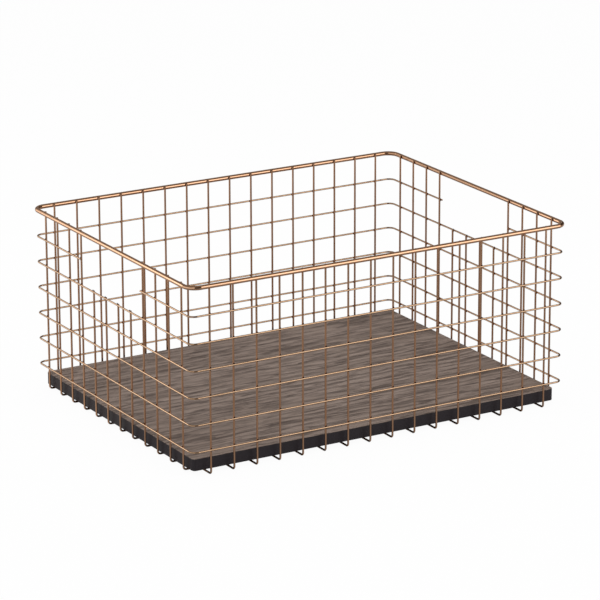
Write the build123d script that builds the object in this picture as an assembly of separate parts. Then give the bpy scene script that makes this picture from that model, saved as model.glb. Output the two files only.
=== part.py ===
from build123d import *
import os

# Wire locker basket with a loose base board. All lengths are in millimetres.
# X runs along the long walls, Y across the basket and Z up.
# The origin is the middle of the plane that the basket stands on.

# Main sizes
wall_length = 419.8     # between the middles of the upright wires of the two end walls
wall_width = 322.2      # between the middles of the upright wires of the front and back walls
basket_height = 191.05  # standing plane to the top of the rim

# Wire and rod, each as wide between two flats as the round wire is thick
upright_d = 2.0
hoop_d = 1.8
rim_d = 4.5
wire_sides = 6
rim_sides = 12
weld_sink = 0.15        # depth that two crossing wires are pressed into each other
bend_radius = 3.0       # centre line of the bends from the walls into the base
hoop_corner_r = 7.0     # centre line
rim_corner_r = 12.0     # centre line

# Grid of upright wires
cross_wire_count = 16   # wires that cross the basket from the front wall to the back wall
end_margin = 19.4       # last cross wire to the uprights of the end wall
length_wire_count = 12  # wires that run from end wall to end wall
side_margin = 19.2      # last length wire to the uprights of the long wall
upright_reach = 1.3     # tops of the tall uprights above the middle of the rim

# Hoops round the walls
hoop_count = 6
lowest_hoop_z = 25.4
rim_rise = 28.4         # top hoop to rim

# Hand opening in each end wall, from the rim down to the second hoop
short_wire_count = 4    # length wires that stop below the opening
short_wire_reach = 0.6  # their tops above the middle of the second hoop
hoop_end_reach = 2.4    # cut ends of the top hoop past the middle of the last upright

# Base board
board_thickness = 12.5
facing_thickness = 0.6  # wood facing on top of the dark core
board_corner_r = 4.0
edge_break = 0.4        # bevel round the top of the facing
board_end_play = 0.1    # board to where the bends of the length wires start
board_side_play = 2.7   # board to where the bends of the cross wires start
board_seat_gap = 0.3    # running gap between the board and the wires that carry it

# Places that follow from the sizes above
half_length = wall_length / 2
half_width = wall_width / 2
cross_wire_pitch = (wall_length - 2 * end_margin) / (cross_wire_count - 1)
length_wire_pitch = (wall_width - 2 * side_margin) / (length_wire_count - 1)
hoop_offset = (upright_d + hoop_d) / 2 - weld_sink
rim_offset = (upright_d + rim_d) / 2 - weld_sink
rim_z = basket_height - rim_d / 2
top_hoop_z = rim_z - rim_rise
hoop_pitch = (top_hoop_z - lowest_hoop_z) / (hoop_count - 1)
second_hoop_z = top_hoop_z - hoop_pitch
cross_wire_z = upright_d / 2
length_wire_z = cross_wire_z + upright_d - weld_sink
board_bottom_z = length_wire_z + upright_d / 2 + board_seat_gap
core_top_z = board_bottom_z + board_thickness - facing_thickness
board_length = 2 * (half_length - bend_radius - board_end_play)
board_width = 2 * (half_width - bend_radius - board_side_play)


def places(count, pitch):
    """Places of evenly spaced wires about the middle of a wall."""
    return [(index - (count - 1) / 2) * pitch for index in range(count)]


def bent_wire(corners, bend_axis, diameter, corner_r, sides=wire_sides, closed=False):
    """Wire through the corners, bent alike at each, with a flat on the inside of its bends."""
    path = FilletPolyline(*corners, radius=corner_r, close=closed)
    flat_turn = 90 - 180 / sides
    section = RegularPolygon(diameter / 2, sides, major_radius=False, rotation=flat_turn)
    start = Plane(origin=path @ 0, x_dir=bend_axis.direction, z_dir=path % 0)
    return sweep(start * section, path=path)


def ring_corners(offset, z):
    """Corners of a closed wire round the outside of the uprights."""
    x, y = half_length + offset, half_width + offset
    return [(-x, -y, z), (x, -y, z), (x, y, z), (-x, y, z)]


def full_hoop(z):
    """Hoop that runs all the way round the basket."""
    return bent_wire(ring_corners(hoop_offset, z), Axis.Z, hoop_d, hoop_corner_r, closed=True)


def rim():
    """Heavy rod round the tops of the uprights."""
    corners = ring_corners(rim_offset, rim_z)
    return bent_wire(corners, Axis.Z, rim_d, rim_corner_r, sides=rim_sides, closed=True)


def top_hoop_half(side):
    """Half of the top hoop, cut at the hand openings; side is -1 in front and 1 at the back."""
    x, y = half_length + hoop_offset, half_width + hoop_offset
    opening_edge = length_wire_pitch * (short_wire_count + 1) / 2 - hoop_end_reach
    corners = [(-x, side * opening_edge, top_hoop_z), (-x, side * y, top_hoop_z),
               (x, side * y, top_hoop_z), (x, side * opening_edge, top_hoop_z)]
    return bent_wire(corners, Axis.Z, hoop_d, hoop_corner_r)


def cross_wire(x):
    """Wire down the front wall, under the board and up the back wall."""
    top = rim_z + upright_reach
    corners = [(x, -half_width, top), (x, -half_width, cross_wire_z),
               (x, half_width, cross_wire_z), (x, half_width, top)]
    return bent_wire(corners, Axis.X, upright_d, bend_radius)


def length_wire(y, top):
    """Wire down one end wall, along under the board and up the other end wall."""
    corners = [(-half_length, y, top), (-half_length, y, length_wire_z),
               (half_length, y, length_wire_z), (half_length, y, top)]
    return bent_wire(corners, Axis.Y, upright_d, bend_radius)


def board_layer(bottom_z, thickness):
    """Rectangular layer of the base board with rounded corners."""
    outline = RectangleRounded(board_length, board_width, board_corner_r)
    return extrude(Plane.XY.offset(bottom_z) * outline, thickness)


def facing():
    """Thin wood facing with its top edge broken."""
    sheet = board_layer(core_top_z, facing_thickness)
    return chamfer(sheet.faces().sort_by(Axis.Z)[-1].edges(), edge_break)


nodes = {}
for number, x in enumerate(places(cross_wire_count, cross_wire_pitch), 1):
    nodes[f"cross_wire_{number:02d}"] = cross_wire(x)

first_short = (length_wire_count - short_wire_count) // 2 + 1
for number, y in enumerate(places(length_wire_count, length_wire_pitch), 1):
    is_short = first_short <= number < first_short + short_wire_count
    top = second_hoop_z + short_wire_reach if is_short else rim_z + upright_reach
    nodes[f"length_wire_{number:02d}"] = length_wire(y, top)

nodes["top_hoop_front"] = top_hoop_half(-1)
nodes["top_hoop_back"] = top_hoop_half(1)
for number in range(2, hoop_count + 1):
    nodes[f"hoop_{number}"] = full_hoop(top_hoop_z - hoop_pitch * (number - 1))
nodes["rim"] = rim()

nodes["board_core"] = board_layer(board_bottom_z, board_thickness - facing_thickness)
nodes["board_facing"] = facing()

os.makedirs("parts", exist_ok=True)
for name, shape in nodes.items():
    export_step(shape, f"parts/{name}.step")
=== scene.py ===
import math
import bpy
from mathutils import Matrix, Vector


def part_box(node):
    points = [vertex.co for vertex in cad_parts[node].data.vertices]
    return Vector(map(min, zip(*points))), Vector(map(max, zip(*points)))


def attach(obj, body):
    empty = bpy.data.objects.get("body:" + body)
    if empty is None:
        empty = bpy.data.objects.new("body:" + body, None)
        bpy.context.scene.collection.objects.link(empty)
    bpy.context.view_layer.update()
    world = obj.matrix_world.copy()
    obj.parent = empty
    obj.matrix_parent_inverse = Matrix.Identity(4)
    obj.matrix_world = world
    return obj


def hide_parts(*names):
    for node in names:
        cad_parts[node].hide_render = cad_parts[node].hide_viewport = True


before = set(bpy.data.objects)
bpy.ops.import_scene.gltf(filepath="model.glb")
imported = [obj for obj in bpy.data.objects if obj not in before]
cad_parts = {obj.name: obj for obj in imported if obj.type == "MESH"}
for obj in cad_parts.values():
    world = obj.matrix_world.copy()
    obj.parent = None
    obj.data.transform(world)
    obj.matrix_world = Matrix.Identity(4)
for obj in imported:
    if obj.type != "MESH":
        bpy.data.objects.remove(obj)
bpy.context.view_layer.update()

# Wire locker basket: copper plated round wires with their weld beads, and a loose board
# that has a dark core and a wood facing. Metres, X along the long walls, Z up.

MM = 0.001
tiny = 0.01 * MM            # points closer than this count as one

# Camera, for a picture of 600 by 600
image_size = 600
focal_length_px = 3570.17
sensor_width = 36.0         # millimetres, as cameras have it
nearest_seen = 0.1
furthest_seen = 100.0
camera_azimuth = math.radians(-30.39)
camera_elevation = math.radians(17.16)
camera_roll = math.radians(-0.18)
camera_distance = 3595.16 * MM
camera_aside = 2.27 * MM
aim_height = 101.2 * MM

# Wires
wire_sides = 16
rim_sides = 32
bend_steps = 8              # lengths in each quarter turn
bend_radius = 3.0 * MM      # centre line, walls into the base
hoop_corner_radius = 7.0 * MM
rim_corner_radius = 12.0 * MM
cut_end_round = 0.25 * MM
cut_end_steps = 2
weld_sink = 0.15 * MM       # how far two welded wires are pressed into each other

# Weld beads: small flattened drops where two wires cross, sizes from the middle outwards
bead_segments = 8
bead_rings = 6
bead_height = 1.9 * MM      # along the upright
bead_width = 1.2 * MM       # along the hoop
bead_depth = 0.5 * MM       # on each side of the contact
rim_bead_height = 1.7 * MM
rim_bead_width = 1.5 * MM
rim_bead_depth = 0.6 * MM

# Board
board_corner_radius = 4.0 * MM
corner_steps = 8
core_edge_round = 0.5 * MM
facing_edge_round = 0.3 * MM
edge_steps = 3

smooth_angle = math.radians(50)     # edges that turn less are shaded smooth


# Helpers
def linear(code):
    """Linear colour of an sRGB hex code such as #C08060."""
    parts = [int(code[i:i + 2], 16) / 255 for i in (1, 3, 5)]
    return [p / 12.92 if p <= 0.04045 else ((p + 0.055) / 1.055) ** 2.4 for p in parts] + [1.0]


def add_node(tree, kind, settings, inputs):
    """Adds a shader node with its settings; each input is a value or the socket that feeds it."""
    node = tree.nodes.new(kind)
    for name, value in settings.items():
        setattr(node, name, value)
    for name, value in inputs.items():
        socket = next(s for s in node.inputs if name in (s.identifier, s.name) and s.enabled)
        if isinstance(value, bpy.types.NodeSocket):
            tree.links.new(value, socket)
        else:
            socket.default_value = value
    return node


def new_material(name):
    """Node material with nothing in it yet, and its tree."""
    material = bpy.data.materials.new(name)
    material.use_nodes = True
    material.node_tree.nodes.clear()
    return material, material.node_tree


def deselect_all():
    """Leaves nothing selected, because the loaded parts start selected."""
    bpy.ops.object.select_all(action="DESELECT")


def make_active(piece):
    """Selects one piece only."""
    deselect_all()
    piece.select_set(True)
    bpy.context.view_layer.objects.active = piece


def settle(piece):
    """Moves a piece's place, turn and scale into its mesh."""
    make_active(piece)
    bpy.ops.object.transform_apply(location=True, rotation=True, scale=True)
    return piece


def rename(piece, name):
    """Gives a piece and its mesh one name."""
    piece.name = name
    piece.data.name = name
    return piece


def select_in_edit(mesh, part, wanted):
    """In edit mode, selects only the faces (polygons) or edges for which wanted() is true."""
    bpy.ops.mesh.select_mode(type="FACE" if part == "polygons" else "EDGE")
    bpy.ops.mesh.select_all(action="DESELECT")
    bpy.ops.object.mode_set(mode="OBJECT")
    for item in getattr(mesh, part):
        item.select = wanted(item)
    bpy.ops.object.mode_set(mode="EDIT")


def smooth(piece):
    """Shades round stretches smooth, and keeps the shading of long straight faces straight."""
    make_active(piece)
    bpy.ops.object.shade_smooth_by_angle(angle=smooth_angle)
    straight = piece.modifiers.new("straight", "WEIGHTED_NORMAL")
    straight.keep_sharp = True
    bpy.ops.object.modifier_apply(modifier=straight.name)
    return piece


def copy_at(original, name, offset):
    """Copy of a piece with its own mesh, moved by an offset."""
    make_active(original)
    bpy.ops.object.duplicate(linked=False)
    piece = rename(bpy.context.object, name)
    piece.location = offset
    return settle(piece)


def join(name, pieces):
    """Joins pieces into one mesh."""
    deselect_all()
    for piece in pieces:
        piece.select_set(True)
    bpy.context.view_layer.objects.active = pieces[0]
    bpy.ops.object.join()
    return rename(bpy.context.object, name)


def middle(node):
    """Middle of a loaded part's box."""
    low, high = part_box(node)
    return (low + high) / 2


def dress(piece, material, slot, body, *nodes):
    """Gives a piece its material and body, and lets it stand for loaded parts."""
    piece.data.materials.clear()
    piece.data.materials.append(material)
    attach(piece, body)
    if nodes:
        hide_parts(*nodes)


# Materials
def make_copper(name, light, dark, smoothest, roughest):
    """Copper plate on drawn steel wire, with patches that differ a little in colour and gloss."""
    patch_size = 22.2 * MM
    material, tree = new_material(name)
    place = add_node(tree, "ShaderNodeTexCoord", {}, {})
    patches = add_node(tree, "ShaderNodeTexNoise", {},
                       {"Vector": place.outputs["Object"], "Scale": 1 / patch_size, "Detail": 3.0})
    tint = add_node(tree, "ShaderNodeMix", {"data_type": "RGBA"},
                    {"Factor_Float": patches.outputs["Fac"], "A_Color": linear(light),
                     "B_Color": linear(dark)})
    gloss = add_node(tree, "ShaderNodeMapRange", {},
                     {"Value": patches.outputs["Fac"], "From Min": 0.3, "From Max": 0.7,
                      "To Min": smoothest, "To Max": roughest})
    metal = add_node(tree, "ShaderNodeBsdfPrincipled", {},
                     {"Base Color": tint.outputs[2], "Metallic": 1.0,
                      "Roughness": gloss.outputs["Result"]})
    add_node(tree, "ShaderNodeOutputMaterial", {}, {"Surface": metal.outputs["BSDF"]})
    return material


def make_facing():
    """Stained oak facing, with its grain along X."""
    pore_depth = 0.15 * MM
    ring_spacing = 12.1 * MM                # as the photograph shows it, coarser than most oak
    bands_per_unit = 20 / (2 * math.pi)     # of the wave texture at scale 1
    # Length along the grain and width across it of one unit of each pattern. Real pores are
    # about 0.3 mm wide, too fine for the picture, so their streaks are drawn coarser.
    units = {"tone": (250.0 * MM, 41.7 * MM),
             "rings": (143.0 * MM, ring_spacing * bands_per_unit),
             "ring patches": (167.0 * MM, 33.3 * MM),
             "pores": (35.7 * MM, 3.333 * MM)}
    material, tree = new_material("grey_brown_oak_grain_facing")
    place = add_node(tree, "ShaderNodeTexCoord", {}, {})
    along_grain = {}
    for pattern, (length, width) in units.items():
        stretched = add_node(tree, "ShaderNodeMapping", {},
                             {"Vector": place.outputs["Object"],
                              "Scale": (1 / length, 1 / width, 1 / length)})
        along_grain[pattern] = stretched.outputs["Vector"]

    # Broad tones
    tone = add_node(tree, "ShaderNodeTexNoise", {},
                    {"Vector": along_grain["tone"], "Scale": 1.0, "Detail": 3.0, "Roughness": 0.5,
                     "Distortion": 0.4})
    broad = add_node(tree, "ShaderNodeValToRGB", {}, {"Fac": tone.outputs["Fac"]})
    darker, lighter = broad.color_ramp.elements
    darker.position = 0.35
    darker.color = linear("#8A7A70")
    lighter.position = 0.65
    lighter.color = linear("#9C8B81")

    # Year rings: each darkens slowly and ends sharply, and they are strong only in patches
    rings = add_node(tree, "ShaderNodeTexWave", {"bands_direction": "Y", "wave_profile": "SAW"},
                     {"Vector": along_grain["rings"], "Scale": 1.0, "Distortion": 9.0,
                      "Detail": 3.0, "Detail Scale": 1.2, "Detail Roughness": 0.6})
    late_wood = add_node(tree, "ShaderNodeMapRange", {},
                         {"Value": rings.outputs["Fac"], "From Min": 0.45, "From Max": 0.95})
    patches = add_node(tree, "ShaderNodeTexNoise", {},
                       {"Vector": along_grain["ring patches"], "Scale": 1.0, "Detail": 1.0,
                        "Roughness": 0.5, "Distortion": 0.0})
    ring_strength = add_node(tree, "ShaderNodeMapRange", {},
                             {"Value": patches.outputs["Fac"], "From Min": 0.35, "From Max": 0.6,
                              "To Min": 0.2, "To Max": 0.9})
    ring_tint = add_node(tree, "ShaderNodeMath", {"operation": "MULTIPLY"},
                         {"Value": late_wood.outputs["Result"],
                          "Value_001": ring_strength.outputs["Result"]})
    ringed = add_node(tree, "ShaderNodeMix", {"data_type": "RGBA"},
                      {"Factor_Float": ring_tint.outputs["Value"],
                       "A_Color": broad.outputs["Color"], "B_Color": linear("#564A43")})

    # Pores: short dark streaks, slightly sunk
    pores = add_node(tree, "ShaderNodeTexNoise", {},
                     {"Vector": along_grain["pores"], "Scale": 1.0, "Detail": 5.0,
                      "Roughness": 0.65, "Distortion": 0.8})
    pore_tint = add_node(tree, "ShaderNodeMapRange", {},
                         {"Value": pores.outputs["Fac"], "From Min": 0.38, "From Max": 0.54,
                          "To Min": 0.9, "To Max": 0.0})
    grain = add_node(tree, "ShaderNodeMix", {"data_type": "RGBA"},
                     {"Factor_Float": pore_tint.outputs["Result"], "A_Color": ringed.outputs[2],
                      "B_Color": linear("#50443E")})
    relief = add_node(tree, "ShaderNodeBump", {},
                      {"Height": pores.outputs["Fac"], "Strength": 0.25, "Distance": pore_depth})
    wood = add_node(tree, "ShaderNodeBsdfPrincipled", {},
                    {"Base Color": grain.outputs[2], "Roughness": 0.55, "Specular IOR Level": 0.25,
                     "Normal": relief.outputs["Normal"]})
    add_node(tree, "ShaderNodeOutputMaterial", {}, {"Surface": wood.outputs["BSDF"]})
    return material


def make_core():
    """Black paint on fibreboard, with the board's fibres faintly raised."""
    # Real fibres are about 0.3 mm wide, too fine for the picture, so they are drawn coarser
    fibre_size = 1.111 * MM
    fibre_depth = 0.1 * MM
    material, tree = new_material("black_painted_fibreboard")
    place = add_node(tree, "ShaderNodeTexCoord", {}, {})
    fibres = add_node(tree, "ShaderNodeTexNoise", {},
                      {"Vector": place.outputs["Object"], "Scale": 1 / fibre_size, "Detail": 3.0})
    tint = add_node(tree, "ShaderNodeMix", {"data_type": "RGBA"},
                    {"Factor_Float": fibres.outputs["Fac"], "A_Color": linear("#1B1419"),
                     "B_Color": linear("#2A2128")})
    relief = add_node(tree, "ShaderNodeBump", {},
                      {"Height": fibres.outputs["Fac"], "Strength": 0.3, "Distance": fibre_depth})
    paint = add_node(tree, "ShaderNodeBsdfPrincipled", {},
                     {"Base Color": tint.outputs[2], "Roughness": 0.5,
                      "Normal": relief.outputs["Normal"]})
    add_node(tree, "ShaderNodeOutputMaterial", {}, {"Surface": paint.outputs["BSDF"]})
    return material


# Polished plate gives a bright pinkish orange mirror, which takes its dark lines from the painted
# reflections of the glowing sheets below
copper = make_copper("copper_plated_steel_wire", light="#E4B896", dark="#D0A07C",
                     smoothest=0.06, roughest=0.13)
# The hoops take the same copper, as smooth but darker and less vivid: painted shade that dims their
# highlights
shaded_hoop_copper = make_copper("copper_hoop_wire_painted_darker", light="#D6B292", dark="#C4A07E",
                          smoothest=0.06, roughest=0.13)
# Dark brown dots with little gloss on the weld beads: painted shade where two wires cross
crossing_shade_copper = make_copper("weld_bead_painted_shade", light="#4C2C22", dark="#321C16",
                          smoothest=0.40, roughest=0.55)
# Satin grey-brown wood, with wavy dark rings and short streaks along the board
facing_wood = make_facing()
# Satin near-black with a trace of purple, never quite even
core_paint = make_core()
COPPER_SLOT = "copper_plated_wire"


# Ways of making the pieces
def bent_wire(name, corners, radius, corner_radius, sides=wire_sides, closed=False):
    """Round wire: a disc drawn out along each straight run and spun round each corner."""
    points = [Vector(p) for p in corners]
    here = (points[0] + points[-1]) / 2 if closed else points[0]
    last = here if closed else points[-1]
    turns = range(len(points)) if closed else range(1, len(points) - 1)
    heading = (points[turns[0]] - here).normalized()
    deselect_all()
    bpy.ops.mesh.primitive_circle_add(vertices=sides, radius=radius, fill_type="NGON", location=here,
                                      rotation=heading.to_track_quat("Z", "Y").to_euler())
    wire = settle(rename(bpy.context.object, name))
    bpy.ops.object.mode_set(mode="EDIT")
    bpy.ops.mesh.select_all(action="SELECT")
    for index in turns:
        corner = points[index]
        back = (points[index - 1] - corner).normalized()
        on = (points[(index + 1) % len(points)] - corner).normalized()
        start = corner + back * corner_radius
        bpy.ops.mesh.extrude_region_move(TRANSFORM_OT_translate={"value": start - here})
        bpy.ops.mesh.spin(steps=bend_steps, angle=math.pi / 2, center=start + on * corner_radius,
                          axis=back.cross(on))
        here = corner + on * corner_radius
    bpy.ops.mesh.extrude_region_move(TRANSFORM_OT_translate={"value": last - here})
    if closed:
        select_in_edit(wire.data, "polygons", lambda face: len(face.vertices) == sides)
        bpy.ops.mesh.delete(type="ONLY_FACE")
    bpy.ops.mesh.select_all(action="SELECT")
    bpy.ops.mesh.remove_doubles(threshold=tiny)
    bpy.ops.mesh.normals_make_consistent(inside=False)
    if not closed:
        select_in_edit(wire.data, "polygons", lambda face: len(face.vertices) == sides)
        bpy.ops.mesh.bevel(offset=cut_end_round, segments=cut_end_steps, affect="EDGES")
    bpy.ops.object.mode_set(mode="OBJECT")
    return smooth(wire)


def wire_family(nodes, material, corners, radius, corner_radius, sides=wire_sides, closed=False):
    """Wires that are alike: the first is bent, and copied to the places of the other parts."""
    first = bent_wire(nodes[0] + "_round", corners, radius, corner_radius, sides, closed)
    wires = [first]
    for node in nodes[1:]:
        wires.append(copy_at(first, node + "_round", middle(node) - middle(nodes[0])))
    for wire, node in zip(wires, nodes):
        dress(wire, material, COPPER_SLOT, "basket", node)


def ring_corners(x, y, z):
    """Corners of a closed ring round the basket."""
    return [(-x, -y, z), (x, -y, z), (x, y, z), (-x, y, z)]


def bead_grid(name, first, size, rows):
    """Weld beads on a grid from its first bead; each row is a step and a count."""
    deselect_all()
    bpy.ops.mesh.primitive_uv_sphere_add(segments=bead_segments, ring_count=bead_rings, radius=1,
                                         location=first, scale=size)
    beads = settle(rename(bpy.context.object, name))
    bpy.ops.object.shade_smooth()
    for step, count in rows:
        array = beads.modifiers.new("row", "ARRAY")
        array.use_relative_offset = False
        array.use_constant_offset = True
        array.constant_offset_displace = step
        array.count = count
        bpy.ops.object.modifier_apply(modifier=array.name)
    return beads


def slab(name, low, high, edge_round, round_top):
    """Board layer with rounded upright corners, and its top or bottom edge eased."""
    deselect_all()
    bpy.ops.mesh.primitive_cube_add(size=1, location=(low + high) / 2, scale=high - low)
    piece = settle(rename(bpy.context.object, name))
    bpy.ops.object.mode_set(mode="EDIT")
    points = piece.data.vertices

    def upright(edge):
        a, b = (points[i].co for i in edge.vertices)
        return (a - b).xy.length < tiny

    select_in_edit(piece.data, "edges", upright)
    bpy.ops.mesh.bevel(offset=board_corner_radius, segments=corner_steps, affect="EDGES")
    eased_z = high.z if round_top else low.z

    def eased(edge):
        return all(abs(points[i].co.z - eased_z) < tiny for i in edge.vertices)

    select_in_edit(piece.data, "edges", eased)
    bpy.ops.mesh.bevel(offset=edge_round, segments=edge_steps, affect="EDGES")
    bpy.ops.object.mode_set(mode="OBJECT")
    return smooth(piece)


# Sizes read from the loaded parts
cross_nodes = sorted(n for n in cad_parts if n.startswith("cross_wire"))
length_nodes = sorted(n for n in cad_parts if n.startswith("length_wire"))
hoop_nodes = sorted(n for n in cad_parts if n.startswith("hoop_"))
cross_low, cross_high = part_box(cross_nodes[0])
length_low, length_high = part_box(length_nodes[0])
hoop_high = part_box(hoop_nodes[0])[1]
rim_low, rim_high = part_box("rim")
wire_radius = (length_low.z - cross_low.z + weld_sink) / 2
hoop_radius = (hoop_high.y - cross_high.y + weld_sink) / 2
rim_radius = (rim_high.z - rim_low.z) / 2
half_length = length_high.x - wire_radius
half_width = cross_high.y - wire_radius
tall_top = cross_high.z
short_nodes = [n for n in length_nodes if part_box(n)[1].z < tall_top - wire_radius]
tall_nodes = [n for n in length_nodes if n not in short_nodes]
first_x = middle(cross_nodes[0]).x
first_y = middle(length_nodes[0]).y
cross_z = cross_low.z + wire_radius
length_z = length_low.z + wire_radius
highest_hoop_z = middle(hoop_nodes[0]).z
lowest_hoop_z = middle(hoop_nodes[-1]).z
top_hoop_z = middle("top_hoop_front").z
rim_z = middle("rim").z
hoop_x, hoop_y = hoop_high.x - hoop_radius, hoop_high.y - hoop_radius
rim_x, rim_y = rim_high.x - rim_radius, rim_high.y - rim_radius

# Cross wires: down the front wall, under the board and up the back wall
wire_family(cross_nodes, copper,
            [(first_x, -half_width, tall_top), (first_x, -half_width, cross_z),
             (first_x, half_width, cross_z), (first_x, half_width, tall_top)],
            wire_radius, bend_radius)

# Length wires: from end wall to end wall, tall ones and short ones below the hand openings
for family in (tall_nodes, short_nodes):
    wire_y = middle(family[0]).y
    wire_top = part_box(family[0])[1].z
    wire_family(family, copper,
                [(-half_length, wire_y, wire_top), (-half_length, wire_y, length_z),
                 (half_length, wire_y, length_z), (half_length, wire_y, wire_top)],
                wire_radius, bend_radius)

# Hoops: full ones, then the two halves of the top hoop, which is cut at the hand openings
# The hoops take the darker copy of the copper, which paints shade on their highlights
wire_family(hoop_nodes, shaded_hoop_copper, ring_corners(hoop_x, hoop_y, highest_hoop_z),
            hoop_radius, hoop_corner_radius, closed=True)
for side, half_node in ((-1, "top_hoop_front"), (1, "top_hoop_back")):
    half_low, half_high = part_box(half_node)
    cut_y = half_high.y if side < 0 else half_low.y
    wire_family([half_node], shaded_hoop_copper,
                [(-hoop_x, cut_y, top_hoop_z), (-hoop_x, side * hoop_y, top_hoop_z),
                 (hoop_x, side * hoop_y, top_hoop_z), (hoop_x, cut_y, top_hoop_z)],
                hoop_radius, hoop_corner_radius)

# Rim
wire_family(["rim"], copper, ring_corners(rim_x, rim_y, rim_z), rim_radius, rim_corner_radius,
            rim_sides, closed=True)

# Weld beads, at the contact of each two wires
wall_y = cross_high.y - weld_sink / 2
wall_x = length_high.x - weld_sink / 2
base_z = length_low.z + weld_sink / 2
cross_step = Vector((middle(cross_nodes[1]).x - first_x, 0, 0))
length_step = Vector((0, middle(length_nodes[1]).y - first_y, 0))
hoop_step = Vector((0, 0, highest_hoop_z - middle(hoop_nodes[1]).z))
cross_count, length_count, full_hoop_count = len(cross_nodes), len(length_nodes), len(hoop_nodes)
beside_count = len(tall_nodes) // 2     # length wires on each side of a hand opening
all_along = (cross_step, cross_count)
all_across = (length_step, length_count)
beside_opening = (length_step, beside_count)
over_opening = (length_step * (length_count - beside_count), 2)
# The beads' dark colour is painted shade at each crossing of two wires
for side, wall in ((-1, "front_wall"), (1, "back_wall")):
    wall_beads = bead_grid("weld_beads_" + wall, (first_x, side * wall_y, lowest_hoop_z),
                           (bead_width, bead_depth, bead_height),
                           [all_along, (hoop_step, full_hoop_count + 1)])
    dress(wall_beads, crossing_shade_copper, COPPER_SLOT, "basket")
for side, wall in ((-1, "left_end_wall"), (1, "right_end_wall")):
    end_bead = (bead_depth, bead_width, bead_height)
    low_beads = bead_grid("low", (side * wall_x, first_y, lowest_hoop_z), end_bead,
                          [all_across, (hoop_step, full_hoop_count)])
    top_beads = bead_grid("top", (side * wall_x, first_y, top_hoop_z), end_bead,
                          [beside_opening, over_opening])
    dress(join("weld_beads_" + wall, [low_beads, top_beads]), crossing_shade_copper, COPPER_SLOT, "basket")
rim_beads = []
for side in (-1, 1):
    rim_beads.append(bead_grid("long", (first_x, side * wall_y, rim_z),
                               (rim_bead_width, rim_bead_depth, rim_bead_height), [all_along]))
    rim_beads.append(bead_grid("end", (side * wall_x, first_y, rim_z),
                               (rim_bead_depth, rim_bead_width, rim_bead_height),
                               [beside_opening, over_opening]))
dress(join("weld_beads_rim", rim_beads), crossing_shade_copper, COPPER_SLOT, "basket")
base_beads = bead_grid("weld_beads_base", (first_x, first_y, base_z),
                       (bead_width, bead_width, bead_depth), [all_along, all_across])
dress(base_beads, crossing_shade_copper, COPPER_SLOT, "basket")

# Board
core = slab("board_core_eased", *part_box("board_core"), core_edge_round, round_top=False)
dress(core, core_paint, "dark_board_core", "board", "board_core")
facing = slab("board_facing_eased", *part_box("board_facing"), facing_edge_round, round_top=True)
dress(facing, facing_wood, "wood_facing", "board", "board_facing")

# Floor and backdrop
floor_size = 24.0
floor_plain = 0.96       # share of the floor that is plain white to the camera
backdrop_light = 0.6     # what the backdrop sheds on the object; it shows as 1, plain white


def seen_or_mirrored(tree):
    """Socket that is 1 for what the camera sees, also in metal or through glass, and 0 for the
    light that falls on things."""
    paths = add_node(tree, "ShaderNodeLightPath", {}, {})
    seen = add_node(tree, "ShaderNodeMath", {"operation": "MAXIMUM"},
                    {"Value": paths.outputs["Is Camera Ray"],
                     "Value_001": paths.outputs["Is Glossy Ray"]})
    return add_node(tree, "ShaderNodeMath", {"operation": "MAXIMUM"},
                    {"Value": seen.outputs["Value"],
                     "Value_001": paths.outputs["Is Transmission Ray"]}).outputs["Value"]


def make_floor():
    """White table top: plain white to the eye, with a trace of the basket's shadow."""
    material, tree = new_material("white_table_top")
    share = add_node(tree, "ShaderNodeMath", {"operation": "MULTIPLY"},
                     {"Value": seen_or_mirrored(tree), "Value_001": floor_plain})
    paint = add_node(tree, "ShaderNodeBsdfDiffuse", {}, {"Color": linear("#F4F4F4")})
    glow = add_node(tree, "ShaderNodeEmission", {}, {"Color": linear("#FFFFFF"), "Strength": 1.0})
    both = add_node(tree, "ShaderNodeMixShader", {},
                    {"Fac": share.outputs["Value"], "Shader": paint.outputs["BSDF"],
                     "Shader_001": glow.outputs["Emission"]})
    add_node(tree, "ShaderNodeOutputMaterial", {}, {"Surface": both.outputs["Shader"]})
    return material


def make_world():
    """White backdrop to the eye, and a soft grey light on everything."""
    world = bpy.data.worlds.new("studio")
    bpy.context.scene.world = world
    world.use_nodes = True
    tree = world.node_tree
    tree.nodes.clear()
    level = add_node(tree, "ShaderNodeMapRange", {},
                     {"Value": seen_or_mirrored(tree), "To Min": backdrop_light, "To Max": 1.0})
    backdrop = add_node(tree, "ShaderNodeBackground", {},
                        {"Color": linear("#FFFFFF"), "Strength": level.outputs["Result"]})
    add_node(tree, "ShaderNodeOutputWorld", {}, {"Surface": backdrop.outputs["Background"]})


deselect_all()
bpy.ops.mesh.primitive_plane_add(size=floor_size, location=(0, 0, 0))
floor = rename(bpy.context.object, "floor")
floor.data.materials.append(make_floor())
make_world()

# Glowing sheets that only reflections see, in place of felt and card: painted reflections of a dim
# studio round a lit table, which give the polished wires their dark edges and some highlights.
# Places in metres from the middle of the basket.
sheet_thickness = 0.02 * MM
lower_glow_z = 0.05 * MM        # just above the table top
upper_glow_z = lower_glow_z + 2 * sheet_thickness
table_glow_reach = 0.6          # from the basket's walls
ceiling_z = 1.25
ceiling_front, ceiling_back = -1.15, 2.2
ceiling_side = 2.0
back_glows_y = 1.75
back_glows_left = -1.12
back_glows_meet = -0.45
light_glow_top = 1.0
side_glow_x = 1.6
side_glow_front, side_glow_back = -0.9, 1.7
front_glow_y = -2.07
front_glow_left, front_glow_right = -1.3, 0.72
front_glow_top = 2.2
front_floor_glow_left, front_floor_glow_right = -1.4, 0.08


def make_glow_reflection(name, colour):
    """Colour that glows at a fixed level: a painted reflection of dull felt or card in the studio's
    even light.
    """
    material, tree = new_material(name)
    glow = add_node(tree, "ShaderNodeEmission", {}, {"Color": linear(colour), "Strength": 1.0})
    add_node(tree, "ShaderNodeOutputMaterial", {}, {"Surface": glow.outputs["Emission"]})
    return material


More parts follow.
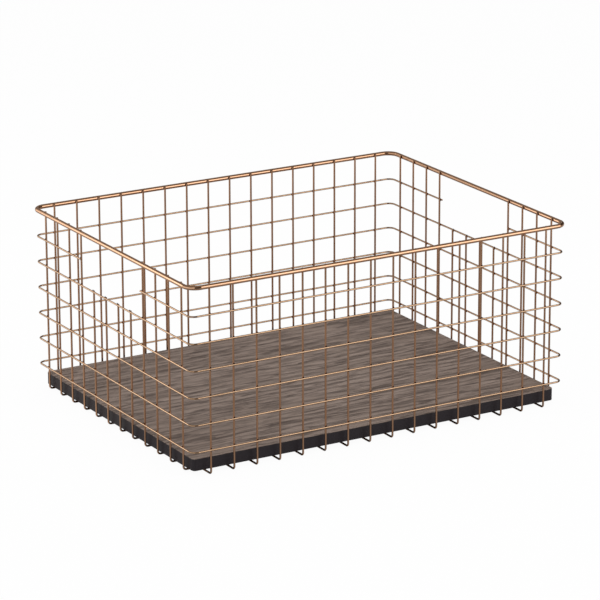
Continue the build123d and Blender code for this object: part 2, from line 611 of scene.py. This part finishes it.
def put_sheet(name, material, left, right, front, back, bottom, top):
    """Glowing sheet, a painted reflection that only reflections see; it casts neither light nor
    shadow.
    """
    low, high = Vector((left, front, bottom)), Vector((right, back, top))
    deselect_all()
    bpy.ops.mesh.primitive_cube_add(size=1, location=(low + high) / 2, scale=high - low)
    sheet = settle(rename(bpy.context.object, name))
    sheet.data.materials.append(material)
    sheet.visible_camera = False
    sheet.visible_diffuse = False
    sheet.visible_shadow = False
    sheet.visible_transmission = False


def lay_glow_sheet(name, material, left, right, front, back, height):
    """Flat sheet at a height."""
    put_sheet(name, material, left, right, front, back, height, height + sheet_thickness)


def stand_glow_sheet(name, material, left, right, y, top):
    """Upright glowing sheet, a painted reflection, that faces the basket from the front or the back,
    standing on the table.
    """
    put_sheet(name, material, left, right, y, y + sheet_thickness, 0, top)


# Painted reflections: sheets that glow with these fixed colours in place of lit felt and card
dark_glow = make_glow_reflection("dark_grey_painted_reflection", "#46423E")
grey_glow = make_glow_reflection("mid_grey_painted_reflection", "#86827E")
light_glow = make_glow_reflection("light_grey_painted_reflection", "#E6E5E4")
table_glow = make_glow_reflection("grey_table_painted_reflection", "#929090")
corner_glow = make_glow_reflection("light_corner_painted_reflection", "#B8B4B0")
# Painted shadow: a dark glowing sheet under the basket, where the table lies in the basket's shade
under_basket_shadow = make_glow_reflection("painted_shadow_under_basket", "#3A3632")
glow_x, glow_y = half_length + table_glow_reach, half_width + table_glow_reach
lay_glow_sheet("table_glow", table_glow, -glow_x, glow_x, -glow_y, glow_y, lower_glow_z)
lay_glow_sheet("front_floor_glow", dark_glow, front_floor_glow_left, front_floor_glow_right, front_glow_y, -glow_y,
         lower_glow_z)
# Painted shadow under the basket, which the undersides of the wires reflect
lay_glow_sheet("under_basket_shadow", under_basket_shadow, -half_length, half_length, -half_width, half_width,
         upper_glow_z)
lay_glow_sheet("corner_glow", corner_glow, -glow_x, -half_length, 0, glow_y, upper_glow_z)
lay_glow_sheet("ceiling_glow", grey_glow, -ceiling_side, ceiling_side, ceiling_front, ceiling_back,
         ceiling_z)
stand_glow_sheet("back_light_glow", light_glow, back_glows_left, back_glows_meet, back_glows_y,
           light_glow_top)
stand_glow_sheet("back_right_glow", grey_glow, back_glows_meet, side_glow_x, back_glows_y, ceiling_z)
stand_glow_sheet("front_upright_glow", dark_glow, front_glow_left, front_glow_right, front_glow_y,
           front_glow_top)
put_sheet("side_glow", dark_glow, side_glow_x, side_glow_x + sheet_thickness, side_glow_front,
          side_glow_back, 0, ceiling_z)


# Lamps
def make_softbox(name, azimuth, elevation, distance, size, brightness):
    """Square softbox that points at the basket, at angles in degrees and a distance in metres;
    the brightness is what a mirror shows of it."""
    data = bpy.data.lights.new(name, "AREA")
    data.shape = "SQUARE"
    data.size = size
    data.energy = brightness * math.pi * size * size
    lamp = bpy.data.objects.new(name, data)
    bpy.context.scene.collection.objects.link(lamp)
    around, above = math.radians(azimuth), math.radians(elevation)
    away = Vector((math.cos(around) * math.cos(above), math.sin(around) * math.cos(above),
                   math.sin(above)))
    lamp.location = Vector((0, 0, aim_height)) + away * distance
    lamp.rotation_euler = away.to_track_quat("Z", "Y").to_euler()


make_softbox("top_softbox", azimuth=180, elevation=80, distance=2.0, size=1.6, brightness=1.7)
make_softbox("front_right_softbox", azimuth=-49, elevation=20, distance=2.2, size=1.5,
             brightness=1.15)
make_softbox("back_left_softbox", azimuth=120, elevation=12, distance=2.2, size=1.2,
             brightness=1.2)


# Camera
def make_camera():
    """Camera at the photograph's viewing angle, aimed at about half the height of the walls."""
    data = bpy.data.cameras.new("camera")
    data.sensor_width = sensor_width
    data.lens = focal_length_px * sensor_width / image_size
    data.clip_start = nearest_seen
    data.clip_end = furthest_seen
    camera = bpy.data.objects.new("camera", data)
    bpy.context.scene.collection.objects.link(camera)
    away = Vector((math.sin(camera_azimuth) * math.cos(camera_elevation),
                   -math.cos(camera_azimuth) * math.cos(camera_elevation),
                   math.sin(camera_elevation)))
    aside = Vector((math.cos(camera_azimuth), math.sin(camera_azimuth), 0))
    upward = away.cross(aside)
    rolled_aside = aside * math.cos(camera_roll) + upward * math.sin(camera_roll)
    rolled_upward = away.cross(rolled_aside)
    place = Vector((0, 0, aim_height)) + away * camera_distance + rolled_aside * camera_aside
    turn = Matrix((rolled_aside, rolled_upward, away)).transposed().to_4x4()
    camera.matrix_world = Matrix.Translation(place) @ turn
    bpy.context.scene.camera = camera


make_camera()
bpy.context.scene.view_settings.view_transform = "Standard"
